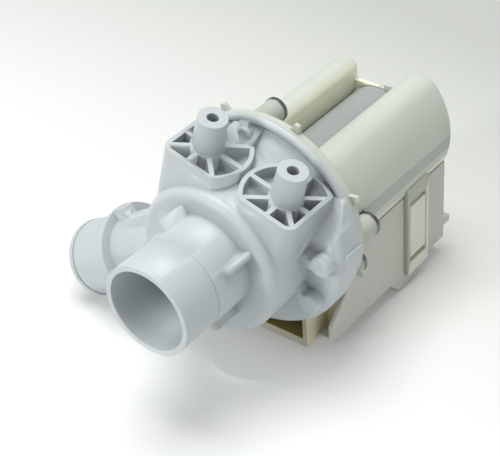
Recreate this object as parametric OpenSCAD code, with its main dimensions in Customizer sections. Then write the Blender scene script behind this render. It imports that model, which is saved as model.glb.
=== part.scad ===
// Washer drain pump: a moulded cover with an inlet and an outlet spout, a wet-running
// magnet rotor with its impeller, and a two-coil motor in a two-part housing.
// The origin is the centre of the inlet spout's mouth. The pump axis runs along +Y
// towards the motor, +Z is up and +X is to the right seen from the inlet.

/* [Inlet spout] */
// Outer diameter of the inlet spout
inlet_od = 40; // [36:0.5:44]
// Wall of the inlet spout
inlet_wall = 2.25; // [1.6:0.05:3]
// Length of the inlet spout from its mouth to the volute's front face
inlet_len = 38; // [32:0.5:50]
// Length of the spout's slimmer front part, on which the hose sits
hose_len = 19; // [14:0.5:22]
// Height of the step behind that part
hose_step = 0.25; // [0.25:0.05:0.5]
// Number of hose stop fins
fin_count = 4; // [2:1:6]
// Angle of the first fin from +X
fin_turn = 28; // [0:1:60]
// Length of a fin along the spout
fin_len = 13; // [8:0.5:18]
// Height of a fin above the spout
fin_h = 4.8; // [3:0.1:7]
// Thickness of a fin
fin_t = 2.8; // [1.6:0.1:4]

/* [Volute] */
// Outer diameter of the volute drum
volute_od = 66; // [63:0.5:70]
// Wall of the volute
volute_wall = 2.6; // [2:0.1:3.2]
// Length of the volute from its front face to the cover's back face
volute_len = 40.5; // [38:0.5:48]
// Rounding of the volute's front edge
shoulder_round = 4; // [3:0.5:7]
// Sideways shift of the drum from the pump axis
volute_side = -2.4; // [-3:0.1:0]
// Upward shift of the drum from the pump axis
volute_lift = -3.3; // [-4:0.1:0]

/* [Cover flange] */
// Outer diameter of the cover flange
flange_od = 92.4; // [90:0.2:100]
// Thickness of the cover flange at its rim
flange_t = 5.5; // [5:0.1:8]
// Width of the raised rim, a bead with a round front
rim_w = 3.8; // [3:0.1:5]
// Depth of the recess inside the rim
recess_depth = 2; // [1.6:0.1:3.4]
// Radius of the hollow curve that joins the volute to the recess
deck_round = 16; // [12:0.5:18]
// Thickness of the rim in front of the housing's collar
rim_t = 2; // [1.5:0.1:2.5]
// Length of the apron under the rim, in front of the cover's back face
apron_len = 16.5; // [14:0.5:18]
// Height of the apron's upper edge above the pump axis
apron_top = 9.5; // [8:0.5:12]
// How far the apron's upper side rises towards the flange
apron_slope = 13; // [8:0.5:16]
// Rounding of the apron's front edge
apron_round = 3.6; // [2.6:0.2:4]
// Wall of the apron
apron_wall = 2.4; // [2:0.1:2.6]
// Length of the rotation mark on the apron
mark_len = 8; // [4:0.5:9]

/* [Outlet spout] */
// Outer diameter of the outlet spout
outlet_od = 34.4; // [32:0.2:37]
// Bore of the outlet spout
outlet_bore = 29.2; // [26:0.2:30]
// Distance from the pump axis to the end of the outlet
outlet_reach = 95; // [85:0.5:110]
// Angle of the outlet below the horizontal
outlet_drop = 30.5; // [20:0.5:35]
// Distance of the outlet's axis behind the volute's front face
outlet_back = 19; // [18.5:0.25:20]
// Distance of the outlet's axis from the pump axis, measured upwards
outlet_lift = 2.2; // [0:0.1:3]
// Outer diameter of the neck between the volute and the ring
neck_od = 33; // [32:0.2:36]
// Outer diameter of the stop ring
ring_od = 41.6; // [39:0.2:46]
// Thickness of the stop ring
ring_t = 2.2; // [1.6:0.1:4]
// Distance of the ring from the outlet's end
ring_back = 28; // [20:0.5:34]
// Width of the lip at the outlet's end
lip_w = 2.4; // [1.5:0.1:4]
// Height of the lip above the spout
lip_h = 0.2; // [0.1:0.05:0.25]
// Width of the groove behind the lip
lip_groove = 0.6; // [0.4:0.1:1]
// Length of the locating lug on the ring
lug_len = 7; // [4:0.5:10]
// Width of the locating lug
lug_w = 6; // [4:0.5:9]

/* [Mounting bosses] */
// Distance between the two boss axes
boss_gap = 38.8; // [38:0.1:42]
// Sideways place of the midpoint between the bosses
boss_mid = -2.7; // [-4:0.1:0]
// Turn of the boss pair about the pump axis
boss_turn = 16.4; // [10:0.2:20]
// Distance of the boss axes behind the volute's front face
boss_back = 18.7; // [18:0.1:20]
// Height of the boss tops above the pump axis
boss_top = 48.75; // [44:0.25:56]
// Outer diameter of a boss at its top
boss_od = 12.2; // [10:0.2:14]
// Diameter of the screw hole in a boss
boss_hole = 4.9; // [3.5:0.1:6]
// Depth of the screw hole in a boss
boss_depth = 18; // [10:0.5:20]
// Height of the pad rims above the pump axis
pad_top = 34.2; // [33:0.2:38]
// Radius of a pad's inner side about its boss
pad_r = 18.5; // [17:0.1:19]
// Distance from a boss axis to its pad's front wall
pad_front = 13.8; // [12:0.1:14]
// Distance from a boss axis to its pad's outer side wall
pad_side = 12.4; // [11:0.1:14]
// Wall of the pads
pad_wall = 1.8; // [1.6:0.1:3]
// Depth of the open cells in the pads
pad_depth = 12; // [8:0.5:14]
// Number of ribs round a boss
rib_count = 8; // [4:1:10]
// Thickness of a rib
rib_t = 2; // [1.6:0.1:3]

/* [Cover screws] */
// Diameter of the circle on which the cover screws stand
screw_circle = 78.8; // [78:0.2:80]
// Angles of the cover screws from +X, the top one first
screw_turns = [96, -0.6, -33.5, 180, 250];
// Shank diameter of a cover screw
screw_d = 4; // [3:0.1:5]
// Diameter of a screw head's washer
head_d = 10.6; // [8:0.1:12]
// Height of a screw head
head_h = 2.8; // [2.4:0.1:4]
// Thickness of a screw head's washer
washer_h = 1.5; // [0.6:0.1:1.8]
// Outer diameter of a screw sleeve
sleeve_od = 10; // [8.6:0.1:10]
// Length of a screw sleeve behind the housing's flange
sleeve_len = 8; // [6:0.5:9]
// Depth to which a screw bites into the cover
screw_bite = 7; // [5:0.5:7.5]
// Diameter of the blind bosses on the cover
blind_od = 9.2; // [8:0.1:9.4]
// Length of the blind bosses in front of the cover's back face
blind_len = 22; // [20:0.5:24]
// Diameter of the top blind boss
top_blind_od = 6.4; // [6.2:0.1:9]
// Length of the top blind boss in front of the cover's back face
top_blind_len = 9; // [9:0.5:13]
// Width of the web that ties a blind boss to the volute
web_t = 4.4; // [3:0.2:8]
// Diameter of the web's round foot on the volute
foot_od = 7.4; // [5:0.2:8.4]

/* [Rotor can] */
// Outer diameter of the rotor can
can_od = 32; // [31:0.2:32.6]
// Wall of the rotor can
can_wall = 1.6; // [1:0.1:2]
// Length of the can behind the cover's back face
can_len = 81.5; // [80:0.5:81.5]
// Diameter of the can's flange
can_flange_od = 72; // [68:0.5:76]
// Thickness of the can's flange
can_flange_t = 2; // [1.5:0.1:2.4]
// Depth of the can's spigot inside the cover
spigot_len = 4; // [3.5:0.1:5]
// Cord diameter of the cover seal
seal_cord = 2.2; // [1.6:0.1:2.6]

/* [Rotor] */
// Diameter of the rotor shaft
shaft_d = 5; // [4:0.1:6]
// Diameter of the rotor magnet
magnet_d = 26; // [22:0.2:27]
// Length of the rotor magnet
magnet_len = 50; // [40:0.5:54]
// Outer diameter of a shaft bearing
bearing_od = 12; // [10:0.2:16]
// Length of a shaft bearing
bearing_len = 7; // [5:0.2:7.4]
// Thickness of a thrust washer
washer_t = 1; // [0.6:0.1:1.4]

/* [Impeller] */
// Diameter of the impeller
impeller_d = 46; // [38:0.5:47]
// Number of impeller vanes
vane_count = 5; // [3:1:8]
// Length of the vanes along the axis
vane_len = 22; // [16:0.5:24]
// Thickness of a vane
vane_t = 2; // [1.2:0.1:3]
// Thickness of the impeller's back plate
plate_t = 1.8; // [1.2:0.1:2.4]
// Outer diameter of the impeller's hub
hub_od = 18; // [16:0.5:20]
// Width of each driving dog, in degrees
dog_arc = 70; // [50:1:90]
// Wall of the driver's hub round the shaft
driver_wall = 1.6; // [1:0.1:1.8]
// Length of the driving dogs
dog_len = 6; // [4:0.5:7]

/* [Stator] */
// Length of the lamination stacks along the pump axis
stack_len = 42; // [36:0.5:44]
// Width of a leg that carries a coil
leg_w = 13; // [10:0.5:14]
// Distance from the pump axis to the middle of a leg
leg_x = 16; // [15.7:0.1:16.2]
// Height of the yoke under the legs
yoke_h = 10; // [8:0.2:11]
// Thickness of the winding round a leg
coil_t = 6.4; // [4:0.1:6.6]
// Wall of a coil former
former_wall = 1.2; // [0.8:0.1:1.4]

/* [Motor housing] */
// Length of the housing behind the cover's back face
housing_len = 82; // [82:0.5:90]
// Diameter of the housing's collar round the cover
collar_od = 89.6; // [88:0.2:92]
// Thickness of the collar's rear web
collar_web = 1.2; // [1:0.1:2]
// Diameter of the housing's flange behind the collar
housing_flange_od = 79; // [76:0.5:80]
// Thickness of the housing's flange
housing_flange_t = 4; // [3.5:0.1:5]
// Width of the groove between the two lobes
groove_w = 24.5; // [20:0.5:26]
// Half of the housing's width across the lobes
lobe_half = 35.8; // [35:0.1:37]
// Radius of the right lobe's outer curve
lobe_r = 35.8; // [35:0.1:38]
// Height of that curve's centre above the pump axis
lobe_rise = 2.5; // [1:0.1:3]
// Radius of the left lobe's outer curve
left_lobe_r = 34.3; // [33:0.1:36]
// Depth of that curve's centre below the pump axis
left_lobe_fall = 2; // [1:0.1:3]
// Height of the right lobe above the pump axis
lobe_top = 28; // [26:0.2:31]
// Height of the left lobe above the pump axis
left_lobe_top = 25.5; // [22:0.1:27]
// Radius of the right lobe's rounded top
lobe_round = 9.6; // [9:0.2:12]
// Radius of the left lobe's rounded top
left_lobe_round = 9; // [8:0.2:11]
// Rounding of the lobes' lower outer edge
lobe_edge = 3; // [2:0.2:4]
// Rounding of the lobes' upper edge along the groove
groove_edge = 4.5; // [1:0.5:5]
// Wall of the housing
housing_wall = 2.2; // [1.6:0.1:2.4]
// Depth of the housing's lower edge below the pump axis
seam_drop = 12; // [11:0.2:13]
// Number of small teeth round the collar
tooth_count = 8; // [4:1:12]
// Height of a tooth above the collar
tooth_h = 3.4; // [2:0.2:4]
// Thickness of a tooth along the pump axis
tooth_t = 1.8; // [1.2:0.1:4]
// Width of a tooth at its foot
tooth_w = 5; // [4:0.2:7]
// Width of a tooth at its tip
tooth_tip = 2.6; // [2:0.1:3.6]
// Angle of the first tooth from +X
tooth_turn = 25.5; // [0:0.5:45]

/* [Coil cover] */
// Outer width of the coil cover
box_w = 66.4; // [65.6:0.2:67]
// Depth of the coil cover's bottom below the pump axis
box_drop = 53.5; // [53:0.5:56]
// Wall of the coil cover
box_wall = 2; // [1.4:0.1:2.2]
// Distance of the side walls' front edge ahead of the cover's back face
box_front = 6.5; // [3:0.5:8]
// Width of the connector window in the rear wall
window_w = 28; // [24:0.5:36]
// Height of the connector window
window_h = 13; // [11:0.5:14]

/* [Snap straps and feet] */
// Width of a snap strap
strap_w = 16.5; // [12:0.5:20]
// Thickness of a snap strap
strap_t = 1.8; // [1.2:0.1:2.4]
// Distance from the housing's rear face to a strap's rear edge
strap_back = 16.5; // [10:0.5:24]
// Depth of a strap's lower end below the pump axis
strap_drop = 54; // [50:0.5:56]
// Width of a strap's legs
strap_leg = 1.8; // [1.2:0.1:3]
// Height of a strap's lower band
strap_band = 6; // [4:0.2:8]
// Clear height above and below the catch block in a strap's window
catch_gap = 2.8; // [1:0.2:5]
// Length of a foot along the pump axis
foot_len = 25; // [16:0.5:30]
// Width of a foot
foot_w = 9; // [6:0.5:14]
// Distance from the housing's rear face to a foot's rear end
foot_back = 20; // [10:0.5:30]

/* [Coil frame and terminals] */
// Outer width of the coil frame's front bezel
bezel_w = 50.8; // [46:0.2:54]
// Distance of the bezel's front face ahead of the cover's back face
bezel_front = 13.5; // [10:0.5:15]
// Height of the bezel's bottom bar
bezel_bar = 4; // [3:0.2:5]
// Width of the bezel's side posts
bezel_post = 2.2; // [1.6:0.1:3]
// Width of a terminal tab
tab_w = 6.3; // [4.8:0.1:6.3]
// Thickness of a terminal tab
tab_t = 0.8; // [0.5:0.1:0.8]

/* [Fits] */
// Radial clearance of a running fit
run_gap = 0.05; // [0.02:0.01:0.08]
// Clearance between seated pieces
seat_gap = 0.1; // [0.05:0.05:0.2]
// Clearance between separate mouldings
part_gap = 0.3; // [0.2:0.05:0.4]

/* [Hidden] */
$fn = 96;
// Overlap that makes two shapes of one solid merge
weld = 0.5;
// Overshoot of a cutting shape past the face that it cuts
over = 1;

inlet_r = inlet_od / 2;
inlet_bore_r = inlet_r - inlet_wall;
shoulder_y = inlet_len;
back_y = shoulder_y + volute_len;
flange_y = back_y - flange_t;
rim_back_y = flange_y + rim_t;
apron_y = back_y - apron_len;
// Rotation mark: its angle, thickness and height above the apron
mark_turn = 2;
mark_t = 2.4;
mark_rise = 1.2;
// Rounding of a blind boss's front edge, how far its web reaches into the volute,
// and how far the web's foot stands out of it
boss_edge = 1.2;
web_root = 6;
foot_out = 2;
// How far the rib of the top blind boss stands ahead of the rim
rib_out = 2;
// How much wider a mounting boss is at its foot, on each side
boss_flare = 0.9;
// The slope behind the left pad: where it starts, its height at the flange and its side
slope_from = 10;
slope_top = 41;
slope_side = 12.5;
// Depth of the groove behind the outlet's lip
groove_cut = 0.5;
// How far the filled cells of the left pad lie below the pad's rim
fill_drop = 1.6;
// Gap of a pressed fit, and free depth ahead of a screw's tip
press_gap = 0.02;
hole_tip = 0.5;
volute_r = volute_od / 2;
chamber_r = volute_r - volute_wall;
chamber_y = shoulder_y + volute_wall;
flange_r = flange_od / 2;
outlet_y = shoulder_y + outlet_back;
boss_y = shoulder_y + boss_back;
screw_r = screw_circle / 2;
screw_pos = [for (a = screw_turns) [screw_r * cos(a), screw_r * sin(a)]];

spigot_r = chamber_r - seat_gap;
spigot_y = back_y - spigot_len;
seal_r = spigot_r - seal_cord / 2;
seal_y = spigot_y + spigot_len / 2;
can_r = can_od / 2;
can_bore_r = can_r - can_wall;
can_end_y = back_y + can_len;

shaft_r = shaft_d / 2;
washer_r = shaft_d;
bearing_r = bearing_od / 2;
front_bearing_y = spigot_y + 2.5;
rear_bearing_y = can_end_y - can_wall - bearing_len - 2;
stack_y = back_y + housing_flange_t + sleeve_len + head_h + part_gap
    + coil_t + former_wall + seat_gap;
magnet_y = rear_bearing_y - washer_t - 2 * part_gap - magnet_len;
shaft_y = chamber_y + 9;
shaft_end = rear_bearing_y + bearing_len + 0.5;

// Wall of the impeller's hub, its running gap to the can and the thickness of the driver's disc
hub_wall = 2.2;
plate_gap = 2.4;
driver_disc = 3;
hub_r = hub_od / 2;
plate_y = spigot_y - plate_gap - plate_t;
vane_y = plate_y - vane_len;
dog_r = hub_r - hub_wall;
dog_y = plate_y - dog_len - driver_disc;

pole_in = can_r + 0.5;
pole_out = leg_x + leg_w / 2 + 4.5;
pole_side = groove_w / 2 + housing_wall + part_gap;
yoke_z = -(box_drop - box_wall) + 1.3;
leg_z = yoke_z + yoke_h;
former_top = -can_r - 1;
cheek_in = 1.8;
cheek_out = box_w / 2 - box_wall - 1;
former_front = stack_y - former_wall - seat_gap;
former_back = stack_y + stack_len + former_wall + seat_gap;

housing_end = back_y + housing_len;
housing_flange_back = back_y + housing_flange_t;
// Where the screw heads seat, and the radius that is kept clear for them
head_y = housing_flange_back + sleeve_len;
head_seat_r = head_d / 2 + part_gap;
// Clearance round the can, and how far the rear tab reaches and rises
can_gap = 0.2;
tab_reach = 9;
tab_rise = 2;
// Height of a strap's root on the lobe
strap_root = 3.4;
box_half = box_w / 2;
box_top = -seam_drop - part_gap;
strap_in = box_half + 0.2;
// Outline of the coil cover's side wall: its front lip, the end of its slope and the shelf
lip_rise = 8.5;
slope_run = 11.5;
slope_z = -33;
shelf_z = -27.5;
strap_y = housing_end - strap_back - strap_w;
window_top = -seam_drop - 3.2;
window_low = -strap_drop + strap_band;
outlet_tip = outlet_lift * cos(outlet_drop) - outlet_reach * sin(outlet_drop);
floor_z = outlet_tip - (outlet_od / 2 + lip_h) * cos(outlet_drop);
// How far the coil frame's bezel reaches below the coil cover
bezel_drop = 0.8;
// Depth of the frame's wings behind the coil cover's front edge, and their thickness
wing_back = 8;
wing_t = 1.6;
// Place of the terminal tabs, and the block of a former in which each one sits
tab_z = -36;
tab_x = 8;
tab_block = 1.5;
tab_seat = 2.6;
// How far a winding lies inside its former's cheeks
tape_gap = 0.4;

cover_grey = [0.80, 0.83, 0.86];
housing_green = [0.82, 0.85, 0.78];
can_blue = [0.68, 0.72, 0.73];
box_cream = [0.78, 0.77, 0.73];
frame_cream = [0.80, 0.78, 0.70];
steel_dark = [0.42, 0.43, 0.45];
steel_bright = [0.76, 0.77, 0.79];
lamination = [0.36, 0.37, 0.40];
copper_tape = [0.55, 0.48, 0.22];
rubber_black = [0.12, 0.12, 0.13];
ferrite = [0.20, 0.20, 0.22];
impeller_white = [0.88, 0.88, 0.86];
carbon = [0.24, 0.24, 0.25];
brass_tab = [0.80, 0.78, 0.62];

// Turns a shape that is built along +Z so that it lies along the pump axis
module along_axis(y = 0) {
    translate([0, y, 0]) rotate([-90, 0, 0]) children();
}

module shift_to_drum() {
    translate([volute_side, 0, volute_lift]) children();
}

// A plain disc or rod about the pump axis from y to y + len
module rod(r, y, len) {
    along_axis(y) cylinder(r = r, h = len);
}

module tube(r_out, r_in, y, len) {
    difference() {
        rod(r_out, y, len);
        rod(r_in, y - over, len + 2 * over);
    }
}

// A closed drum with a rounded front edge
module drum(r, y, len, edge) {
    along_axis(y) rotate_extrude() {
        square([r - edge, len]);
        translate([0, edge]) square([r, len - edge]);
        translate([r - edge, edge]) circle(edge);
    }
}

// A rectangle with rounded corners from a low to a high corner
module round_rect(low, high, r) {
    w = high[0] - low[0];
    h = high[1] - low[1];
    translate(low) union() {
        translate([r, 0]) square([w - 2 * r, h]);
        translate([0, r]) square([w, h - 2 * r]);
        for (x = [r, w - r], y = [r, h - r]) translate([x, y]) circle(r);
    }
}

// Extrudes a section drawn in X and Z along the pump axis
module run_section(y, len) {
    translate([0, y + len, 0]) rotate([90, 0, 0]) linear_extrude(len) children();
}

// Extrudes a section drawn in Y and Z across the pump, from x to x + len
module cross_section(x, len) {
    translate([x, 0, 0]) rotate([90, 0, 90]) linear_extrude(len) children();
}

// Places a shape in the outlet's frame, with +Z along the outlet
module on_outlet() {
    translate([0, outlet_y, 0]) rotate([0, -90 - outlet_drop, 0])
        translate([outlet_lift, 0, 0]) children();
}

module at_screws() {
    for (p = screw_pos) translate([p[0], 0, p[1]]) children();
}

// Cover

module fins() {
    for (i = [0 : fin_count - 1])
        rotate([0, -fin_turn - i * 360 / fin_count, 0])
            translate([inlet_r - 1, shoulder_y - fin_len, -fin_t / 2])
                cube([fin_h + 1, fin_len + weld, fin_t]);
}

module cover_plate() {
    along_axis(flange_y) rotate_extrude() {
        translate([0, recess_depth]) square([flange_r, flange_t - recess_depth]);
        translate([flange_r - rim_w, rim_w / 2]) square([rim_w, flange_t - rim_w / 2]);
        translate([flange_r - rim_w / 2, rim_w / 2]) circle(rim_w / 2);
    }
}

// A ring with a hollow front that leads from the volute up to the recess
module deck() {
    rear = flange_y + recess_depth + weld;
    mid_y = rear - deck_round;
    difference() {
        intersection() {
            rod(flange_r - rim_w + weld, mid_y, rear - mid_y);
            shift_to_drum() along_axis(mid_y) rotate_extrude() difference() {
                square([volute_r + deck_round, rear - mid_y]);
                translate([volute_r + deck_round, 0]) circle(deck_round);
            }
        }
        at_pad(1) pad_cells(1);
    }
}

// The apron's form, trim inside its outer faces. Its upper side slopes up to the flange.
module apron_form(trim, rear) {
    rise = apron_slope / (flange_y - apron_y);
    top = apron_top - trim * sqrt(1 + rise * rise);
    low = -flange_r - over;
    intersection() {
        drum(flange_r - trim, apron_y + trim, rear - apron_y - trim, apron_round - trim);
        cross_section(-flange_r - over, flange_od + 2 * over)
            polygon([[apron_y - over, low], [apron_y - over, top - over * rise],
                [flange_y, top + apron_slope], [rear, top + apron_slope], [rear, low]]);
    }
}

// The plate and the hollow apron under the rim, which is open at the back
module plate_and_apron() {
    difference() {
        union() {
            cover_plate();
            deck();
            apron_form(0, back_y);
        }
        difference() {
            apron_form(apron_wall, back_y + over);
            shift_to_drum() rod(volute_r - weld, apron_y, back_y - apron_y + 2 * over);
        }
    }
    rotate([0, -mark_turn, 0]) translate([flange_r - mark_t, flange_y - mark_len, -mark_t / 2])
        cube([mark_t + mark_rise, mark_len + rim_w / 2, mark_t]);
}

// The top blind boss has a rib across the rim
module top_boss() {
    front = back_y - top_blind_len;
    translate([screw_r, 0, 0]) drum(top_blind_od / 2, front, top_blind_len - weld, boss_edge);
    translate([screw_r, flange_y - rib_out, -web_t / 2])
        cube([flange_r - screw_r - rim_w / 2, rib_out + flange_t - weld, web_t]);
}

// The other blind bosses for the cover screws are tied to the drum by a web with a round foot
module side_boss() {
    front = back_y - blind_len;
    translate([screw_r, 0, 0]) drum(blind_od / 2, front, blind_len - weld, boss_edge);
    translate([volute_r + foot_out - foot_od / 2, 0, 0])
        drum(foot_od / 2, front, blind_len - weld, boss_edge);
    translate([volute_r - web_root, front, -web_t / 2])
        cube([screw_r - volute_r + web_root, blind_len - weld, web_t]);
}

module blind_bosses() {
    for (i = [0 : len(screw_turns) - 1]) rotate([0, -screw_turns[i], 0])
        if (i == 0) top_boss(); else side_boss();
}

module pad_outline(side, trim) {
    intersection() {
        circle(pad_r - trim);
        if (side > 0)
            round_rect([-2 * pad_r, -pad_front + trim], [pad_side - trim, 2 * pad_r], 4.5 - trim);
        else
            round_rect([-pad_side + trim, -pad_front + trim], [2 * pad_r, 2 * pad_r], 4.5 - trim);
    }
}

module rib_pattern() {
    circle(d = boss_od + 2 * boss_flare);
    for (i = [0 : rib_count - 1]) rotate(i * 360 / rib_count)
        translate([0, -rib_t / 2]) square([pad_r + over, rib_t]);
}

// Places a shape at the left (-1) or right (1) mounting boss, with +Z along the boss
module at_pad(side) {
    rotate([0, boss_turn, 0]) translate([boss_mid + side * boss_gap / 2, boss_y, 0]) children();
}

module pad_cells(side) {
    translate([0, 0, pad_top - pad_depth]) linear_extrude(pad_depth + over) difference() {
        pad_outline(side, pad_wall);
        rib_pattern();
    }
}

module pads() {
    for (side = [-1, 1]) at_pad(side) {
        difference() {
            union() {
                linear_extrude(pad_top) pad_outline(side, 0);
                linear_extrude(side < 0 ? pad_top : pad_top - pad_depth - 1)
                    translate([1 - pad_side, 0])
                        square([2 * pad_side - 2, back_y - boss_y - recess_depth]);
            }
            pad_cells(side);
        }
        if (side < 0) translate([0, 0, pad_top - pad_depth - weld])
            linear_extrude(pad_depth + weld - fill_drop) intersection() {
                pad_outline(side, pad_wall - weld);
                polygon([[0, 0], [2 * pad_r, 2 * pad_r], [-2 * pad_r, 2 * pad_r]]);
            }
    }
}

// A slope that leads from the filled cells of the left pad up to the rim
module pad_slope() {
    floor_z = pad_top - fill_drop;
    foot_z = pad_top - pad_depth;
    rear = flange_y + recess_depth + weld;
    run = rear - boss_y;
    intersection() {
        rod(flange_r - rim_w + weld, boss_y, run);
        at_pad(-1) cross_section(0, slope_side)
            polygon([[slope_from, foot_z], [slope_from, floor_z], [run, slope_top], [run, foot_z]]);
        at_pad(-1) linear_extrude(slope_top)
            polygon([[0, 0], [2 * pad_r, 2 * pad_r], [0, 2 * pad_r]]);
    }
}

module bosses() {
    for (side = [-1, 1]) at_pad(side) rotate_extrude()
        polygon([[0, pad_top - pad_depth - 1], [boss_od / 2 + boss_flare, pad_top - pad_depth - 1],
            [boss_od / 2, boss_top], [0, boss_top]]);
}

module boss_holes() {
    for (side = [-1, 1]) at_pad(side)
        translate([0, 0, boss_top - boss_depth]) cylinder(d = boss_hole, h = boss_depth + over);
}

module outlet_body() {
    on_outlet() {
        cylinder(d = neck_od, h = outlet_reach - ring_back);
        translate([0, 0, outlet_reach - ring_back - ring_t]) cylinder(d = ring_od, h = ring_t);
        translate([0, 0, outlet_reach - ring_back - weld])
            cylinder(d = outlet_od, h = ring_back + weld - lip_w - lip_groove);
        translate([0, 0, outlet_reach - lip_w - lip_groove - weld])
            cylinder(d = outlet_od - 2 * groove_cut, h = lip_groove + 2 * weld);
        translate([0, 0, outlet_reach - lip_w]) cylinder(d = outlet_od + 2 * lip_h, h = lip_w);
        translate([neck_od / 2 - 2, -lug_w / 2, outlet_reach - ring_back - ring_t - lug_len])
            cube([(ring_od - neck_od) / 2 + 2, lug_w, lug_len + weld]);
    }
}

module pump_cover() {
    color(cover_grey) difference() {
        union() {
            rod(inlet_r, 0, shoulder_y + volute_wall);
            rod(inlet_r + hose_step, hose_len, shoulder_y + volute_wall - hose_len);
            shift_to_drum() drum(volute_r, shoulder_y, volute_len - weld, shoulder_round);
            fins();
            plate_and_apron();
            blind_bosses();
            pads();
            pad_slope();
            bosses();
            outlet_body();
        }
        rod(inlet_bore_r, -over, shoulder_y + volute_wall + 2 * over);
        shift_to_drum() drum(chamber_r, chamber_y, volute_len, shoulder_round - 2);
        on_outlet() cylinder(d = outlet_bore, h = outlet_reach + over);
        boss_holes();
        at_screws() rod(screw_d / 2 + press_gap, back_y - screw_bite - hole_tip,
            screw_bite + hole_tip + over);
        tube(flange_r + over, housing_flange_od / 2 + part_gap, rim_back_y, back_y - rim_back_y + over);
    }
}

module cover_seal() {
    color(rubber_black) shift_to_drum() along_axis(seal_y) rotate_extrude()
        translate([seal_r, 0]) circle(d = seal_cord);
}

// Rotor

// A pie slice of the given width about the pump axis, its middle at the given angle
module dog(r, y, len, mid) {
    half = dog_arc / 2;
    along_axis(y) linear_extrude(len) intersection() {
        circle(r);
        polygon([[0, 0], for (a = [-half, 0, half]) 3 * r * [cos(mid + a), sin(mid + a)]]);
    }
}

module impeller() {
    color(impeller_white) difference() {
        union() {
            rod(hub_r, shaft_y - 3, plate_y - shaft_y + 3 + weld);
            rod(impeller_d / 2, plate_y, plate_t);
            for (i = [0 : vane_count - 1]) rotate([0, i * 360 / vane_count, 0])
                translate([hub_r - 1, vane_y, -vane_t / 2])
                    cube([impeller_d / 2 - hub_r + 1 - 0.6, vane_len + weld, vane_t]);
        }
        difference() {
            rod(dog_r, dog_y, plate_y + plate_t - dog_y + over);
            dog(dog_r + over, dog_y - over, dog_len + over, 90);
        }
        rod(shaft_r + driver_wall + part_gap, dog_y, plate_y);
        rod(shaft_r + run_gap, shaft_y - 0.5, plate_y);
    }
}

// The driver's dog swings between the two faces of the impeller's dog
module impeller_driver() {
    color(carbon) difference() {
        union() {
            rod(dog_r - part_gap, dog_y + dog_len + part_gap,
                plate_y + plate_t - dog_y - dog_len - part_gap);
            rod(shaft_r + driver_wall, dog_y + part_gap, dog_len + weld);
            dog(dog_r - part_gap, dog_y + part_gap, dog_len + weld, -90);
        }
        rod(shaft_r + press_gap, dog_y - over, plate_y);
    }
}

module rotor_shaft() {
    color(steel_bright) rod(shaft_r, shaft_y, shaft_end - shaft_y);
}

module rotor_magnet() {
    color(ferrite) tube(magnet_d / 2, shaft_r + press_gap, magnet_y, magnet_len);
}

module thrust_washers() {
    color(carbon) {
        tube(washer_r, shaft_r + press_gap, front_bearing_y + bearing_len + part_gap, washer_t);
        tube(washer_r, shaft_r + press_gap, rear_bearing_y - part_gap - washer_t, washer_t);
    }
}

module front_bearing() {
    color(carbon) tube(bearing_r, shaft_r + run_gap, front_bearing_y, bearing_len);
}

module rear_bearing() {
    color(carbon) tube(bearing_r, shaft_r + run_gap, rear_bearing_y, bearing_len);
}

module front_bearing_mount() {
    color(rubber_black)
        tube(can_bore_r - press_gap, bearing_r + press_gap, front_bearing_y - 1, bearing_len + 0.8);
}

module rear_bearing_mount() {
    color(rubber_black)
        tube(can_bore_r - press_gap, bearing_r + press_gap, rear_bearing_y + 0.2, bearing_len + 1.8);
}

module rotor_can() {
    color(can_blue) difference() {
        union() {
            shift_to_drum() rod(spigot_r, spigot_y, spigot_len + weld);
            rod(can_flange_od / 2, back_y, can_flange_t);
            rod(can_r, back_y, can_len);
        }
        rod(can_bore_r, spigot_y - over, can_end_y - can_wall - spigot_y + over);
        at_screws() rod(screw_d / 2 + part_gap, back_y - over, can_flange_t + 2 * over);
        shift_to_drum() tube(spigot_r + over, seal_r - seal_cord / 2 - press_gap,
            seal_y - seal_cord / 2 - 0.1, seal_cord + 0.2);
    }
}

// Motor housing

// Section of a lobe in X and Z, drawn trim inside its outer face. Its rounded top
// touches its outer curve from inside.
module lobe_section(r, rise, top, edge, trim) {
    low = -seam_drop - over;
    mid = sqrt(pow(r - edge, 2) - pow(top - edge - rise, 2));
    intersection() {
        translate([0, rise]) circle(r - trim);
        translate([groove_w / 2 + trim, low]) square([lobe_half - groove_w / 2 - 2 * trim, top - low]);
        union() {
            translate([mid, top - edge]) circle(edge - trim);
            translate([0, lobe_edge - seam_drop])
                square([lobe_half, top - edge + seam_drop - lobe_edge]);
            translate([0, low]) square([lobe_half - lobe_edge, top - edge - low]);
            translate([lobe_half - lobe_edge, lobe_edge - seam_drop]) circle(lobe_edge - trim);
            translate([mid, top - edge]) rotate(atan2(top - edge - rise, mid) - 90) square([edge, edge]);
        }
    }
}

// What the rounding along the groove takes off a lobe. Its circle touches the groove's
// wall and the lobe's rounded top from inside.
module groove_corner(r, rise, top, edge) {
    mid = sqrt(pow(r - edge, 2) - pow(top - edge - rise, 2));
    side = groove_w / 2 + groove_edge;
    reach = edge - groove_edge;
    high = top - edge + sqrt(max(0, reach * reach - pow(mid - side, 2)));
    touch = mid + (side - mid) * edge / reach;
    difference() {
        translate([groove_w / 2 - over, high]) square([touch - groove_w / 2 + over, top - high + over]);
        translate([side, high]) circle(groove_edge);
    }
}

module lobe(r, rise, top, edge) {
    run_section(back_y + weld, housing_len - weld) difference() {
        intersection() {
            lobe_section(r, rise, top, edge, 0);
            translate([0, -seam_drop]) square([lobe_half, seam_drop + top]);
        }
        groove_corner(r, rise, top, edge);
    }
}

module lobe_cavity(r, rise, top, edge) {
    run_section(housing_flange_back, housing_len - housing_flange_t - housing_wall)
        lobe_section(r, rise, top, edge, housing_wall);
}

module both_sides() {
    children();
    mirror([1, 0, 0]) children();
}

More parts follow.
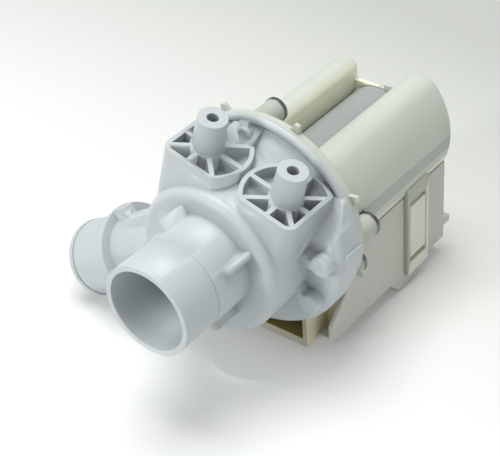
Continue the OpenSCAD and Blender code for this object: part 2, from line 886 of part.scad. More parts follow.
// A strap hangs from a root that reaches from the lobe's wall to the strap's outer face
module snap_strap(r, rise) {
    root_in = min(strap_in, sqrt(r * r - pow(seam_drop + rise, 2)) - housing_wall);
    root_out = strap_in + strap_t;
    translate([root_in, strap_y, -seam_drop]) cube([root_out - root_in, strap_w, strap_root]);
    difference() {
        translate([strap_in, strap_y, -strap_drop])
            cube([strap_t, strap_w, strap_drop - seam_drop + strap_root]);
        translate([strap_in - over, strap_y + strap_leg, window_low])
            cube([strap_t + 2 * over, strap_w - 2 * strap_leg, window_top - window_low]);
    }
}

module collar() {
    tube(collar_od / 2, housing_flange_od / 2 + part_gap + press_gap, rim_back_y,
        back_y - rim_back_y + weld);
    tube(collar_od / 2, housing_flange_od / 2 - over, back_y, collar_web);
    for (i = [0 : tooth_count - 1]) rotate([0, -tooth_turn - i * 360 / tooth_count, 0])
        run_section(back_y + collar_web - tooth_t, tooth_t) tooth_section();
}

// A tooth narrows towards its tip, whose corners are rounded
module tooth_section() {
    foot = collar_od / 2 - 1;
    tip = collar_od / 2 + tooth_h;
    half = tooth_tip / 2;
    round_r = half / 2;
    polygon([[foot, -tooth_w / 2], [tip - round_r, -half], [tip - round_r, half], [foot, tooth_w / 2]]);
    translate([tip - 2 * round_r, -half + round_r]) square([2 * round_r, 2 * (half - round_r)]);
    for (side = [-1, 1]) translate([tip - round_r, side * (half - round_r)]) circle(round_r);
}

// A tab behind the can, beside the right lobe
module rear_tab() {
    translate([groove_w / 2 - tab_reach, housing_end - housing_wall, can_r + part_gap])
        cube([tab_reach + weld, housing_wall, tab_rise]);
}

module motor_housing() {
    color(housing_green) difference() {
        union() {
            rod(housing_flange_od / 2, back_y, housing_flange_t);
            collar();
            at_screws() rod(sleeve_od / 2, back_y, housing_flange_t + sleeve_len);
            lobe(lobe_r, lobe_rise, lobe_top, lobe_round);
            snap_strap(lobe_r, lobe_rise);
            mirror([1, 0, 0]) {
                lobe(left_lobe_r, -left_lobe_fall, left_lobe_top, left_lobe_round);
                snap_strap(left_lobe_r, -left_lobe_fall);
            }
            rear_tab();
            translate([-pole_side, housing_end - housing_wall, -seam_drop])
                cube([2 * pole_side, housing_wall, seam_drop + can_r + part_gap]);
        }
        difference() {
            union() {
                lobe_cavity(lobe_r, lobe_rise, lobe_top, lobe_round);
                mirror([1, 0, 0])
                    lobe_cavity(left_lobe_r, -left_lobe_fall, left_lobe_top, left_lobe_round);
            }
            at_screws() rod(head_seat_r + housing_wall, back_y, head_y + head_h + housing_wall - back_y);
        }
        at_screws() rod(head_seat_r, head_y, head_h + part_gap);
        rod(can_r + can_gap, back_y - over, housing_len + 2 * over);
        rod(can_flange_od / 2 + seat_gap, back_y - over, can_flange_t + over);
        at_screws() rod(screw_d / 2 + part_gap, rim_back_y - over, back_y - rim_back_y
            + housing_flange_t + sleeve_len + 2 * over);
    }
}

module cover_screws() {
    color(steel_dark) at_screws() difference() {
        union() {
            rod(screw_d / 2, back_y - screw_bite, screw_bite + head_y - back_y + weld);
            rod(head_d / 2, head_y, washer_h);
            along_axis(head_y) rotate_extrude() intersection() {
                square([head_d / 2 - 1, head_h]);
                translate([0, head_h - head_d]) circle(head_d);
            }
        }
        for (a = [0, 90]) rotate([0, a, 0])
            translate([-0.5, head_y + head_h - 1.6, -2.4]) cube([1, 2, 4.8]);
    }
}

// Stator and coils

module pole_section() {
    difference() {
        union() {
            translate([pole_side, -leg_w]) square([pole_out - pole_side, leg_w + 12]);
            translate([leg_x - leg_w / 2, leg_z]) square([leg_w, -leg_z - leg_w + weld]);
        }
        circle(pole_in);
    }
}

module pole_stack_right() {
    color(lamination) run_section(stack_y, stack_len) pole_section();
}

module pole_stack_left() {
    color(lamination) run_section(stack_y, stack_len) mirror([1, 0]) pole_section();
}

module yoke_stack() {
    color(lamination) translate([-leg_x - leg_w / 2, stack_y, yoke_z])
        cube([2 * leg_x + leg_w, stack_len, yoke_h]);
}

// A box about a leg, grown sideways and endways by the same amount
module leg_box(grow, low, high) {
    translate([leg_x - leg_w / 2 - grow, stack_y - grow, low])
        cube([leg_w + 2 * grow, stack_len + 2 * grow, high - low]);
}

// A box about a leg that fills the coil's space between the pump's middle and the coil cover
module coil_box(trim, low, high) {
    grow = seat_gap + former_wall + coil_t - trim;
    translate([cheek_in + trim, stack_y - grow, low])
        cube([cheek_out - cheek_in - 2 * trim, stack_len + 2 * grow, high - low]);
}

module coil_former() {
    grow = seat_gap + former_wall;
    low = leg_z + part_gap;
    difference() {
        union() {
            leg_box(grow, low, former_top);
            coil_box(0, low, low + former_wall);
            coil_box(0, former_top - former_wall, former_top);
            translate([tab_x - tab_w / 2 - tab_block, former_back + coil_t - tape_gap / 2, low])
                cube([tab_w + 2 * tab_block, tab_seat + tape_gap / 2, tab_z - low + 2 * tab_block]);
        }
        leg_box(seat_gap, low - over, former_top + over);
        translate([tab_x - tab_w / 2 - press_gap, former_back + coil_t, tab_z - press_gap])
            cube([tab_w + 2 * press_gap, tab_seat + over, tab_t + 2 * press_gap]);
    }
}

module coil_former_right() {
    color(frame_cream) coil_former();
}

module coil_former_left() {
    color(frame_cream) mirror([1, 0, 0]) coil_former();
}

module winding() {
    grow = seat_gap + former_wall;
    low = leg_z + part_gap + former_wall;
    high = former_top - former_wall;
    difference() {
        coil_box(tape_gap, low, high);
        leg_box(grow, low - over, high + over);
    }
}

module winding_right() {
    color(copper_tape) winding();
}

module winding_left() {
    color(copper_tape) mirror([1, 0, 0]) winding();
}

module terminals() {
    color(brass_tab) for (side = [-1, 1])
        translate([side * tab_x - tab_w / 2, former_back + coil_t + 0.1, tab_z])
            cube([tab_w, housing_end - 2 * part_gap - former_back - coil_t, tab_t]);
}

// The bezel stands in front of the coil cover's floor, below the cover flange
module coil_frame() {
    front_y = back_y - bezel_front;
    step_y = back_y - box_front - part_gap;
    floor_top = -(box_drop - box_wall);
    low = -box_drop - bezel_drop;
    wall_top = -sqrt(pow(housing_flange_od / 2, 2) - pow(bezel_w / 2 - bezel_post, 2)) - over;
    wing_x = box_half - box_wall - part_gap;
    color(frame_cream) difference() {
        union() {
            translate([-bezel_w / 2, front_y, low])
                cube([bezel_w, step_y - front_y, wall_top - low]);
            translate([-bezel_w / 2, front_y, floor_top])
                cube([bezel_w, former_front - coil_t - part_gap - front_y, wall_top - floor_top]);
            translate([-bezel_w / 2 + 1, front_y + 1, floor_top])
                cube([bezel_w - 2, stack_y + stack_len - front_y, yoke_z - floor_top]);
            translate([-wing_x, back_y - box_front + wing_back, floor_top])
                cube([2 * wing_x, wing_t, wall_top - floor_top]);
        }
        translate([-bezel_w / 2 + bezel_post, front_y - over, low + bezel_bar])
            cube([bezel_w - 2 * bezel_post, former_front - front_y, -low]);
        rod(flange_r + part_gap, front_y - over, back_y + collar_web + part_gap - front_y + over);
    }
}

// Coil cover

module side_wall_outline() {
    front = back_y - box_front;
    step_y = head_y + head_h + over;
    polygon([[front, -box_drop], [front, -box_drop + lip_rise], [front + slope_run, slope_z],
        [step_y, shelf_z], [step_y, box_top], [housing_end, box_top], [housing_end, -box_drop]]);
}

module foot() {
    rear = housing_end - foot_back;
    front = rear - foot_len;
    top = -box_drop + 1;
    height = top - floor_z;
    translate([box_half - foot_w, 0, 0]) cross_section(0, foot_w) union() {
        polygon([[front, top], [front + height, floor_z], [rear - 3, floor_z],
            [rear, floor_z + 3], [rear, top]]);
        translate([rear - 3, floor_z + 3]) circle(3);
    }
}

module coil_cover() {
    length = housing_end - back_y + box_front;
    color(box_cream) difference() {
        union() {
            cross_section(-box_half, box_w) side_wall_outline();
            both_sides() {
                translate([box_half - 1, strap_y + strap_leg + part_gap, window_low + catch_gap])
                    cube([1 + strap_t, strap_w - 2 * strap_leg - 2 * part_gap,
                        window_top - window_low - 2 * catch_gap]);
                foot();
                translate([box_half - 3, housing_end - weld, -box_drop + 6])
                    cube([3, 5 + weld, 3.4]);
            }
        }
        translate([-box_half + box_wall, back_y - box_front - over, -box_drop + box_wall])
            cube([box_w - 2 * box_wall, length + over - box_wall, box_drop]);
        translate([-window_w / 2, housing_end - box_wall - over, tab_z - 2.5])
            cube([window_w, box_wall + 2 * over, window_h]);
        rod(can_r + part_gap, back_y, housing_len + over);
    }
}

pump_cover();
cover_seal();
impeller();
impeller_driver();
rotor_shaft();
rotor_magnet();
thrust_washers();
front_bearing();
front_bearing_mount();
rear_bearing();
rear_bearing_mount();
rotor_can();
motor_housing();
cover_screws();
pole_stack_left();
pole_stack_right();
yoke_stack();
coil_former_left();
coil_former_right();
winding_left();
winding_right();
coil_frame();
coil_cover();
terminals();
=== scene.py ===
import math

import bmesh
import bpy
from mathutils import Matrix, Vector


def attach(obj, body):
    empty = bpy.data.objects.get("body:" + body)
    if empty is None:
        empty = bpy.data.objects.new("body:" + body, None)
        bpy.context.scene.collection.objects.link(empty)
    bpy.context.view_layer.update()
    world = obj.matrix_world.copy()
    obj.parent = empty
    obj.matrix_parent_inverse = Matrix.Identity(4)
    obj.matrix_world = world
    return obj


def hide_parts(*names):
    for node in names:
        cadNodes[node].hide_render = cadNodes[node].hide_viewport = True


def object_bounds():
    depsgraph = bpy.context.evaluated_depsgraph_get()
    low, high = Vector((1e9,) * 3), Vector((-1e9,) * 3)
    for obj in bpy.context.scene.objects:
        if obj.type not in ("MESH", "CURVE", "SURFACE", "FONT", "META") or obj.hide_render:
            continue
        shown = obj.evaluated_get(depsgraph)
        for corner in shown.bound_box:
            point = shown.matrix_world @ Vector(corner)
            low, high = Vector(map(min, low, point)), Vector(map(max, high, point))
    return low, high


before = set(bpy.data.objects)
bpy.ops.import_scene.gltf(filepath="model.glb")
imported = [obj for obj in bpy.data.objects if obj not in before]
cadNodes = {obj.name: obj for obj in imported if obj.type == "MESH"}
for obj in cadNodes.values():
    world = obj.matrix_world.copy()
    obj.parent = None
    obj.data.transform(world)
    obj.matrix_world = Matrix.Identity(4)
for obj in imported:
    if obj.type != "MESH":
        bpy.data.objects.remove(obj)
cadLow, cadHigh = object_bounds()
mm = 0.001
pumpBody = "pump_body"


def say(words):
    print("drain pump:", words)


def place(tree, kind, **settings):
    node = tree.nodes.new(kind)
    for key, value in settings.items():
        setattr(node, key, value)
    return node


# a socket takes what another socket gives, or a fixed value
def feed(tree, target, source):
    if isinstance(source, bpy.types.NodeSocket):
        tree.links.new(source, target)
    else:
        target.default_value = source


def calculate(tree, operation, *values):
    node = place(tree, "ShaderNodeMath", operation=operation)
    for socket, value in zip(node.inputs, values):
        feed(tree, socket, value)
    return node.outputs[0]


# a value between low and high becomes one between 0 and top
def rescale(tree, value, low, high, top=1.0, **settings):
    node = place(tree, "ShaderNodeMapRange", clamp=True, **settings)
    node.inputs["From Min"].default_value = low
    node.inputs["From Max"].default_value = high
    node.inputs["To Max"].default_value = top
    tree.links.new(value, node.inputs["Value"])
    return node.outputs["Result"]


# where the Mix node keeps its sockets for colours
mixSockets = {"first": 6, "second": 7, "result": 2}


def mixColours(tree, share, first, second):
    node = place(tree, "ShaderNodeMix", data_type="RGBA")
    feed(tree, node.inputs["Factor"], share)
    feed(tree, node.inputs[mixSockets["first"]], first)
    feed(tree, node.inputs[mixSockets["second"]], second)
    return node.outputs[mixSockets["result"]]


def noise(tree, vector, scale, detail):
    node = place(tree, "ShaderNodeTexNoise")
    node.inputs["Scale"].default_value = scale
    node.inputs["Detail"].default_value = detail
    tree.links.new(vector, node.inputs["Vector"])
    return node.outputs["Fac"]


# the normal as if edges were rounded by so many mm
def softNormal(tree, softness, samples):
    node = place(tree, "ShaderNodeBevel", samples=samples)
    feed(tree, node.inputs["Radius"], calculate(tree, "MULTIPLY", softness, mm))
    return node.outputs["Normal"]


def bumpNormal(tree, height, strength, depth, normal=None):
    node = place(tree, "ShaderNodeBump")
    feed(tree, node.inputs["Strength"], strength)
    node.inputs["Distance"].default_value = depth * mm
    tree.links.new(height, node.inputs["Height"])
    if normal is not None:
        tree.links.new(normal, node.inputs["Normal"])
    return node.outputs["Normal"]


# a node group that gives a colour, a roughness and a normal
def newGroup(name, inputs):
    group = bpy.data.node_groups.new(name, "ShaderNodeTree")
    for title, kind, value in inputs:
        socket = group.interface.new_socket(name=title, in_out="INPUT", socket_type=kind)
        socket.default_value = value
    for title, kind in (("Colour", "NodeSocketColor"), ("Roughness", "NodeSocketFloat"),
                        ("Normal", "NodeSocketVector")):
        group.interface.new_socket(name=title, in_out="OUTPUT", socket_type=kind)
    return group, place(group, "NodeGroupInput").outputs, place(group, "NodeGroupOutput").inputs


mouldedGrain = {
    "samples": 6,
    # edge keys shape the pale edges, partly wear and partly a painted highlight; corner keys
    # shape the painted shade in the corners
    "edgeFrom": 0.995, "edgeTo": 0.80, "edgeShare": 0.55,
    "cornerReach": 9,  # mm
    "cornerFrom": 0.85, "cornerTo": 0.15, "cornerShare": 0.7,
    "cloudScale": 55, "cloudDetail": 4, "cloudFrom": 0.35, "cloudTo": 0.75, "cloudShare": 0.35,
    "speckScale": 900, "speckDetail": 3,
    "speckRough": 0.14, "cloudRough": 0.10,
    "cloudHeight": 0.5,
    "depth": 0.25,  # mm
}


# moulded surface: soft edges, pale edges that are partly wear and partly a painted highlight,
# painted shade darkening the corners, faint flow marks and grain
def mouldedGroup(grain):
    group, inputs, outputs = newGroup("mouldedSurface", (
        ("Colour", "NodeSocketColor", (0.6, 0.6, 0.6, 1)),
        ("Shade", "NodeSocketColor", (0.4, 0.4, 0.4, 1)),
        ("Edge", "NodeSocketColor", (0.8, 0.8, 0.8, 1)),
        ("Softness", "NodeSocketFloat", 0.5),
        ("Roughness", "NodeSocketFloat", 0.4),
        ("Grain", "NodeSocketFloat", 0.1),
        ("Mottle", "NodeSocketFloat", 0.3),
    ))
    link = group.links.new
    coords = place(group, "ShaderNodeTexCoord").outputs["Object"]
    geometry = place(group, "ShaderNodeNewGeometry")
    soft = softNormal(group, inputs["Softness"], grain["samples"])

    # pale edges: where the soft normal turns from the true one, the colour goes towards Edge,
    # partly wear and partly a painted highlight
    turned = place(group, "ShaderNodeVectorMath", operation="DOT_PRODUCT")
    link(soft, turned.inputs[0])
    link(geometry.outputs["Normal"], turned.inputs[1])
    edges = rescale(group, turned.outputs["Value"], grain["edgeFrom"], grain["edgeTo"],
                    grain["edgeShare"])

    # painted shade: ambient occlusion darkens the corners towards the Shade colour
    reach = place(group, "ShaderNodeAmbientOcclusion", samples=grain["samples"])
    reach.inputs["Distance"].default_value = grain["cornerReach"] * mm
    paintedCornerShade = rescale(group, reach.outputs["AO"], grain["cornerFrom"], grain["cornerTo"],
                      grain["cornerShare"])

    cloud = noise(group, coords, grain["cloudScale"], grain["cloudDetail"])
    patches = rescale(group, cloud, grain["cloudFrom"], grain["cloudTo"])
    mottle = calculate(group, "MULTIPLY", patches, inputs["Mottle"])
    faint = calculate(group, "MULTIPLY", mottle, grain["cloudShare"])

    mottled = mixColours(group, faint, inputs["Colour"], inputs["Shade"])
    cornerShadedColour = mixColours(group, paintedCornerShade, mottled, inputs["Shade"])
    wornAndHighlitEdges = mixColours(group, edges, cornerShadedColour, inputs["Edge"])
    link(wornAndHighlitEdges, outputs["Colour"])

    speck = noise(group, coords, grain["speckScale"], grain["speckDetail"])
    rough = calculate(group, "MULTIPLY_ADD", speck, grain["speckRough"], inputs["Roughness"])
    rough = calculate(group, "MULTIPLY_ADD", patches, grain["cloudRough"], rough)
    link(rough, outputs["Roughness"])

    height = calculate(group, "MULTIPLY_ADD", cloud, grain["cloudHeight"], speck)
    link(bumpNormal(group, height, inputs["Grain"], grain["depth"], soft), outputs["Normal"])
    return group


metalGrain = {
    "samples": 6,
    "lineDetail": 3, "lineRough": 0.18,
    "stainScale": 240, "stainDetail": 5, "stainFrom": 0.45, "stainTo": 0.75, "stainShare": 0.7,
    "depth": 0.2,  # mm
}


# metal: fine lines drawn out along an axis, small stains and soft edges
def metalGroup(grain):
    group, inputs, outputs = newGroup("metalSurface", (
        ("Colour", "NodeSocketColor", (0.5, 0.5, 0.5, 1)),
        ("Stain", "NodeSocketColor", (0.2, 0.2, 0.2, 1)),
        ("Line Scale", "NodeSocketVector", (300, 300, 300)),
        ("Line Depth", "NodeSocketFloat", 0.1),
        ("Softness", "NodeSocketFloat", 0.25),
        ("Roughness", "NodeSocketFloat", 0.35),
    ))
    link = group.links.new
    coords = place(group, "ShaderNodeTexCoord").outputs["Object"]
    soft = softNormal(group, inputs["Softness"], grain["samples"])

    stretch = place(group, "ShaderNodeVectorMath", operation="MULTIPLY")
    link(coords, stretch.inputs[0])
    link(inputs["Line Scale"], stretch.inputs[1])
    lines = noise(group, stretch.outputs[0], 1, grain["lineDetail"])

    stain = noise(group, coords, grain["stainScale"], grain["stainDetail"])
    stains = rescale(group, stain, grain["stainFrom"], grain["stainTo"], grain["stainShare"])
    link(mixColours(group, stains, inputs["Colour"], inputs["Stain"]), outputs["Colour"])

    rough = calculate(group, "MULTIPLY_ADD", lines, grain["lineRough"], inputs["Roughness"])
    link(rough, outputs["Roughness"])
    link(bumpNormal(group, lines, inputs["Line Depth"], grain["depth"], soft), outputs["Normal"])
    return group


say("node groups")
mouldedSurface = mouldedGroup(mouldedGrain)
metalSurface = metalGroup(metalGrain)


def newMaterial(name):
    material = bpy.data.materials.new(name)
    material.use_nodes = True
    tree = material.node_tree
    return material, tree, tree.nodes["Principled BSDF"]


def useGroup(tree, shader, group, values):
    node = place(tree, "ShaderNodeGroup", node_tree=group)
    for name, value in values.items():
        node.inputs[name].default_value = value
    tree.links.new(node.outputs["Colour"], shader.inputs["Base Color"])
    tree.links.new(node.outputs["Roughness"], shader.inputs["Roughness"])
    tree.links.new(node.outputs["Normal"], shader.inputs["Normal"])


plasticLook = {"specular": 0.45, "scatter": (1.0, 1.0, 0.8), "scatterDepth": 2}  # mm


def plastic(name, look):
    material, tree, shader = newMaterial(name)
    useGroup(tree, shader, mouldedSurface, {
        "Colour": (*look["colour"], 1),
        "Shade": (*look["shade"], 1),
        "Edge": (*look["edge"], 1),
        "Softness": look["soft"],
        "Roughness": look["rough"],
        "Grain": look["grain"],
        "Mottle": look["mottle"],
    })
    shader.inputs["Specular IOR Level"].default_value = plasticLook["specular"]
    if "translucent" in look:
        shader.inputs["Subsurface Weight"].default_value = look["translucent"]
        shader.inputs["Subsurface Radius"].default_value = plasticLook["scatter"]
        shader.inputs["Subsurface Scale"].default_value = plasticLook["scatterDepth"] * mm
    return material


def metal(name, look):
    material, tree, shader = newMaterial(name)
    useGroup(tree, shader, metalSurface, {
        "Colour": (*look["colour"], 1),
        "Stain": (*look["stain"], 1),
        "Line Scale": look["lines"],
        "Line Depth": look["lineDepth"],
        "Roughness": look["rough"],
    })
    shader.inputs["Metallic"].default_value = look["metallic"]
    return material


# colours are linear, and soft is the rounding that edges seem to have, in mm
say("materials")
coverLook = {
    "colour": (0.55, 0.595, 0.612), "shade": (0.36, 0.39, 0.40), "edge": (0.74, 0.785, 0.80),
    "rough": 0.25, "soft": 0.4, "grain": 0.08, "mottle": 0.35, "translucent": 0.08,
}
coverPlastic = plastic("coverPlastic", coverLook)

housingLook = {
    "colour": (0.60, 0.645, 0.575), "shade": (0.50, 0.53, 0.42), "edge": (0.72, 0.745, 0.68),
    "rough": 0.46, "soft": 0.7, "grain": 0.12, "mottle": 0.5, "translucent": 0.12,
}
housingPlastic = plastic("housingPlastic", housingLook)

# painted shade: the screw sleeves take a copy of the housing plastic painted darker, standing in
# for the shade they sit in
shadedSleeveLook = {
    "colour": (0.48, 0.515, 0.46), "shade": (0.42, 0.45, 0.36), "edge": (0.60, 0.63, 0.57),
    "rough": 0.46, "soft": 0.7, "grain": 0.12, "mottle": 0.5, "translucent": 0.12,
}
shadedSleevePlastic = plastic("shadedSleevePlastic", shadedSleeveLook)

canLook = {
    "colour": (0.36, 0.39, 0.38), "shade": (0.30, 0.325, 0.315), "edge": (0.48, 0.51, 0.50),
    "rough": 0.34, "soft": 0.6, "grain": 0.08, "mottle": 0.3,
}
canPlastic = plastic("canPlastic", canLook)

boxLook = {
    "colour": (0.61, 0.597, 0.553), "shade": (0.48, 0.462, 0.41), "edge": (0.86, 0.84, 0.78),
    "rough": 0.44, "soft": 0.9, "grain": 0.14, "mottle": 0.4, "translucent": 0.05,
}
boxPlastic = plastic("boxPlastic", boxLook)

strapLook = {
    "colour": (0.80, 0.775, 0.69), "shade": (0.64, 0.61, 0.51), "edge": (0.88, 0.86, 0.80),
    "rough": 0.40, "soft": 0.5, "grain": 0.10, "mottle": 0.3, "translucent": 0.05,
}
strapPlastic = plastic("strapPlastic", strapLook)

# painted shade: the coil frame's plastic is painted darker than its pale colour, standing in for
# the shade under the cover's flange
shadedFrameLook = {
    "colour": (0.42, 0.40, 0.33), "shade": (0.30, 0.27, 0.17), "edge": (0.76, 0.73, 0.64),
    "rough": 0.45, "soft": 0.45, "grain": 0.12, "mottle": 0.5,
}
shadedFramePlastic = plastic("shadedFramePlastic", shadedFrameLook)

tanLook = {
    "colour": (0.73, 0.67, 0.49), "shade": (0.50, 0.44, 0.27), "edge": (0.82, 0.78, 0.66),
    "rough": 0.45, "soft": 0.45, "grain": 0.12, "mottle": 0.5,
}
tanPlastic = plastic("tanPlastic", tanLook)

formerLook = {
    "colour": (0.34, 0.27, 0.085), "shade": (0.13, 0.10, 0.03), "edge": (0.46, 0.38, 0.16),
    "rough": 0.42, "soft": 0.4, "grain": 0.12, "mottle": 0.5,
}
formerPlastic = plastic("formerPlastic", formerLook)

impellerLook = {
    "colour": (0.72, 0.72, 0.70), "shade": (0.55, 0.55, 0.52), "edge": (0.84, 0.84, 0.82),
    "rough": 0.38, "soft": 0.5, "grain": 0.08, "mottle": 0.3,
}
impellerPlastic = plastic("impellerPlastic", impellerLook)

carbonLook = {
    "colour": (0.045, 0.045, 0.05), "shade": (0.025, 0.025, 0.03), "edge": (0.10, 0.10, 0.11),
    "rough": 0.52, "soft": 0.3, "grain": 0.25, "mottle": 0.4,
}
carbonPlastic = plastic("carbonPlastic", carbonLook)

rubberLook = {
    "colour": (0.022, 0.022, 0.024), "shade": (0.012, 0.012, 0.013), "edge": (0.06, 0.06, 0.06),
    "rough": 0.72, "soft": 0.4, "grain": 0.35, "mottle": 0.3,
}
sealRubber = plastic("sealRubber", rubberLook)

screwLook = {
    "colour": (0.26, 0.265, 0.28), "stain": (0.05, 0.05, 0.06),
    "lines": (900, 300, 900), "lineDepth": 0.15, "rough": 0.06, "metallic": 1.0,
}
screwZinc = metal("screwZinc", screwLook)

shaftLook = {
    "colour": (0.62, 0.62, 0.64), "stain": (0.45, 0.44, 0.42),
    "lines": (300, 3000, 300), "lineDepth": 0.2, "rough": 0.16, "metallic": 1.0,
}
shaftSteel = metal("shaftSteel", shaftLook)

magnetLook = {
    "colour": (0.06, 0.06, 0.065), "stain": (0.03, 0.03, 0.03),
    "lines": (1500, 1500, 1500), "lineDepth": 0.5, "rough": 0.5, "metallic": 0.4,
}
sinteredFerrite = metal("sinteredFerrite", magnetLook)

sheetLook = {
    "colour": (0.16, 0.17, 0.19), "stain": (0.10, 0.07, 0.05),
    "lines": (20, 2000, 20), "lineDepth": 0.9, "rough": 0.42, "metallic": 0.7,
}
stampedSheets = metal("stampedSheets", sheetLook)

terminalLook = {
    "colour": (0.66, 0.63, 0.52), "stain": (0.42, 0.36, 0.22),
    "lines": (3000, 200, 3000), "lineDepth": 0.15, "rough": 0.28, "metallic": 1.0,
}
tinnedBrass = metal("tinnedBrass", terminalLook)

tapeLook = {
    "low": (0.10, 0.085, 0.022), "high": (0.27, 0.215, 0.06), "rough": 0.5,
    "bands": 36, "wander": 0.3,
    "cloth": 1400, "clothDetail": 2, "clothHeight": 0.2,
    "bump": 0.4, "depth": 0.4,  # mm
}


# tape wound in bands round the coil, with a faint weave and the seams of its laps
def tapeMaterial(look):
    material, tree, shader = newMaterial("windingTape")
    link = tree.links.new
    coords = place(tree, "ShaderNodeTexCoord").outputs["Object"]
    bands = place(tree, "ShaderNodeTexWave", wave_type="BANDS", bands_direction="Z",
                  wave_profile="SAW")
    bands.inputs["Scale"].default_value = look["bands"]
    bands.inputs["Distortion"].default_value = look["wander"]
    link(coords, bands.inputs["Vector"])
    colours = place(tree, "ShaderNodeValToRGB")
    colours.color_ramp.elements[0].color = (*look["low"], 1)
    colours.color_ramp.elements[1].color = (*look["high"], 1)
    link(bands.outputs["Fac"], colours.inputs["Fac"])
    link(colours.outputs["Color"], shader.inputs["Base Color"])
    cloth = noise(tree, coords, look["cloth"], look["clothDetail"])
    height = calculate(tree, "MULTIPLY_ADD", cloth, look["clothHeight"], bands.outputs["Fac"])
    link(bumpNormal(tree, height, look["bump"], look["depth"]), shader.inputs["Normal"])
    shader.inputs["Roughness"].default_value = look["rough"]
    return material


windingTape = tapeMaterial(tapeLook)

# places are in mm
grooveGlowLook = {
    "colour": (0.97, 0.93, 0.74),
    "fadeX": -18.0, "wallX": -13.0, "topZ": 26.0, "fadeZ": 21.5,
}


# painted glow: the left lobe's wall along the groove is painted warmer and lighter, standing in
# for light shining through the translucent plastic, fading out over its rounded edge
def paintGrooveGlow(material, plain, look):
    tree = material.node_tree
    link = tree.links.new
    axes = place(tree, "ShaderNodeSeparateXYZ")
    link(place(tree, "ShaderNodeTexCoord").outputs["Object"], axes.inputs[0])
    across = rescale(tree, axes.outputs["X"], look["fadeX"] * mm, look["wallX"] * mm,
                     interpolation_type="SMOOTHSTEP")
    down = rescale(tree, axes.outputs["Z"], look["topZ"] * mm, look["fadeZ"] * mm,
                   interpolation_type="SMOOTHSTEP")
    leftSide = calculate(tree, "LESS_THAN", axes.outputs["X"], 0)
    wall = calculate(tree, "MULTIPLY", calculate(tree, "MULTIPLY", across, down), leftSide)
    tone = mixColours(tree, wall, (*plain["colour"], 1), (*look["colour"], 1))
    group = next(node for node in tree.nodes if node.type == "GROUP")
    link(tone, group.inputs["Colour"])


paintGrooveGlow(housingPlastic, housingLook, grooveGlowLook)

# mm and degrees
edgeFinish = {"merge": 0.004, "flat": 0.4, "sharp": 35, "weight": 60}


def finishMesh(name, shape, material):
    mesh = bpy.data.meshes.new(name)
    shape.to_mesh(mesh)
    shape.free()
    piece = bpy.data.objects.new(name, mesh)
    bpy.context.scene.collection.objects.link(piece)
    mesh.materials.append(material)
    for face in mesh.polygons:
        face.use_smooth = True
    mesh.set_sharp_from_angle(angle=math.radians(edgeFinish["sharp"]))
    return piece


# a merged copy of a CAD node with softened edges, which stands for it
def softCopy(node, name, material, body=pumpBody, bevelWidth=0.3, segments=2):
    shape = bmesh.new()
    shape.from_mesh(cadNodes[node].data)
    bmesh.ops.remove_doubles(shape, verts=shape.verts, dist=edgeFinish["merge"] * mm)
    bmesh.ops.dissolve_limit(shape, angle_limit=math.radians(edgeFinish["flat"]),
                             verts=shape.verts, edges=shape.edges, delimit={"NORMAL"})
    piece = finishMesh(name, shape, material)
    if bevelWidth:
        rounding = piece.modifiers.new("edges", "BEVEL")
        rounding.width = bevelWidth * mm
        rounding.segments = segments
        rounding.limit_method = "ANGLE"
        rounding.angle_limit = math.radians(edgeFinish["sharp"])
        rounding.use_clamp_overlap = True
        shading = piece.modifiers.new("shading", "WEIGHTED_NORMAL")
        shading.keep_sharp = True
        shading.weight = edgeFinish["weight"]
    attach(piece, body)
    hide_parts(node)
    return piece


# faces of a piece whose middles pass the test take another material
def repaint(piece, material, test):
    piece.data.materials.append(material)
    index = len(piece.data.materials) - 1
    count = 0
    for face in piece.data.polygons:
        if test(face.center / mm):
            face.material_index = index
            count += 1
    say(f"{count} faces of {piece.name} in {material.name}")


say("cover and wet end")
softCopy("pump_cover", "coverShell", coverPlastic, bevelWidth=0)
softCopy("cover_seal", "sealRing", sealRubber, bevelWidth=0)
softCopy("impeller", "impellerWheel", impellerPlastic, "impeller")
softCopy("impeller_driver", "driverHub", carbonPlastic, "rotor")

say("rotor")
softCopy("rotor_shaft", "shaftPin", shaftSteel, "rotor")
softCopy("rotor_magnet", "magnetSleeve", sinteredFerrite, "rotor")
softCopy("thrust_washers", "thrustRings", carbonPlastic, "rotor", 0.1)
softCopy("front_bearing", "frontBush", carbonPlastic, bevelWidth=0.2)
softCopy("rear_bearing", "rearBush", carbonPlastic, bevelWidth=0.2)
softCopy("front_bearing_mount", "frontCushion", sealRubber)
softCopy("rear_bearing_mount", "rearCushion", sealRubber)
softCopy("rotor_can", "canBody", canPlastic)

say("motor")
# where the housing's straps and screw sleeves are, in mm and degrees
strapAt = {"side": 32.9, "top": -8.4, "front": 90}
sleeveAt = {"radius": 39.4, "turns": (96, -0.6, -33.5, 180, 250), "reach": 5.2, "front": 80.5}


def onStrap(p):
    return abs(p.x) > strapAt["side"] and p.z < strapAt["top"] and p.y > strapAt["front"]


def onSleeve(p):
    for turn in sleeveAt["turns"]:
        x = sleeveAt["radius"] * math.cos(math.radians(turn))
        z = sleeveAt["radius"] * math.sin(math.radians(turn))
        if p.y > sleeveAt["front"] and math.hypot(p.x - x, p.z - z) < sleeveAt["reach"]:
            return True
    return False


housingShell = softCopy("motor_housing", "housingShell", housingPlastic)
repaint(housingShell, strapPlastic, onStrap)
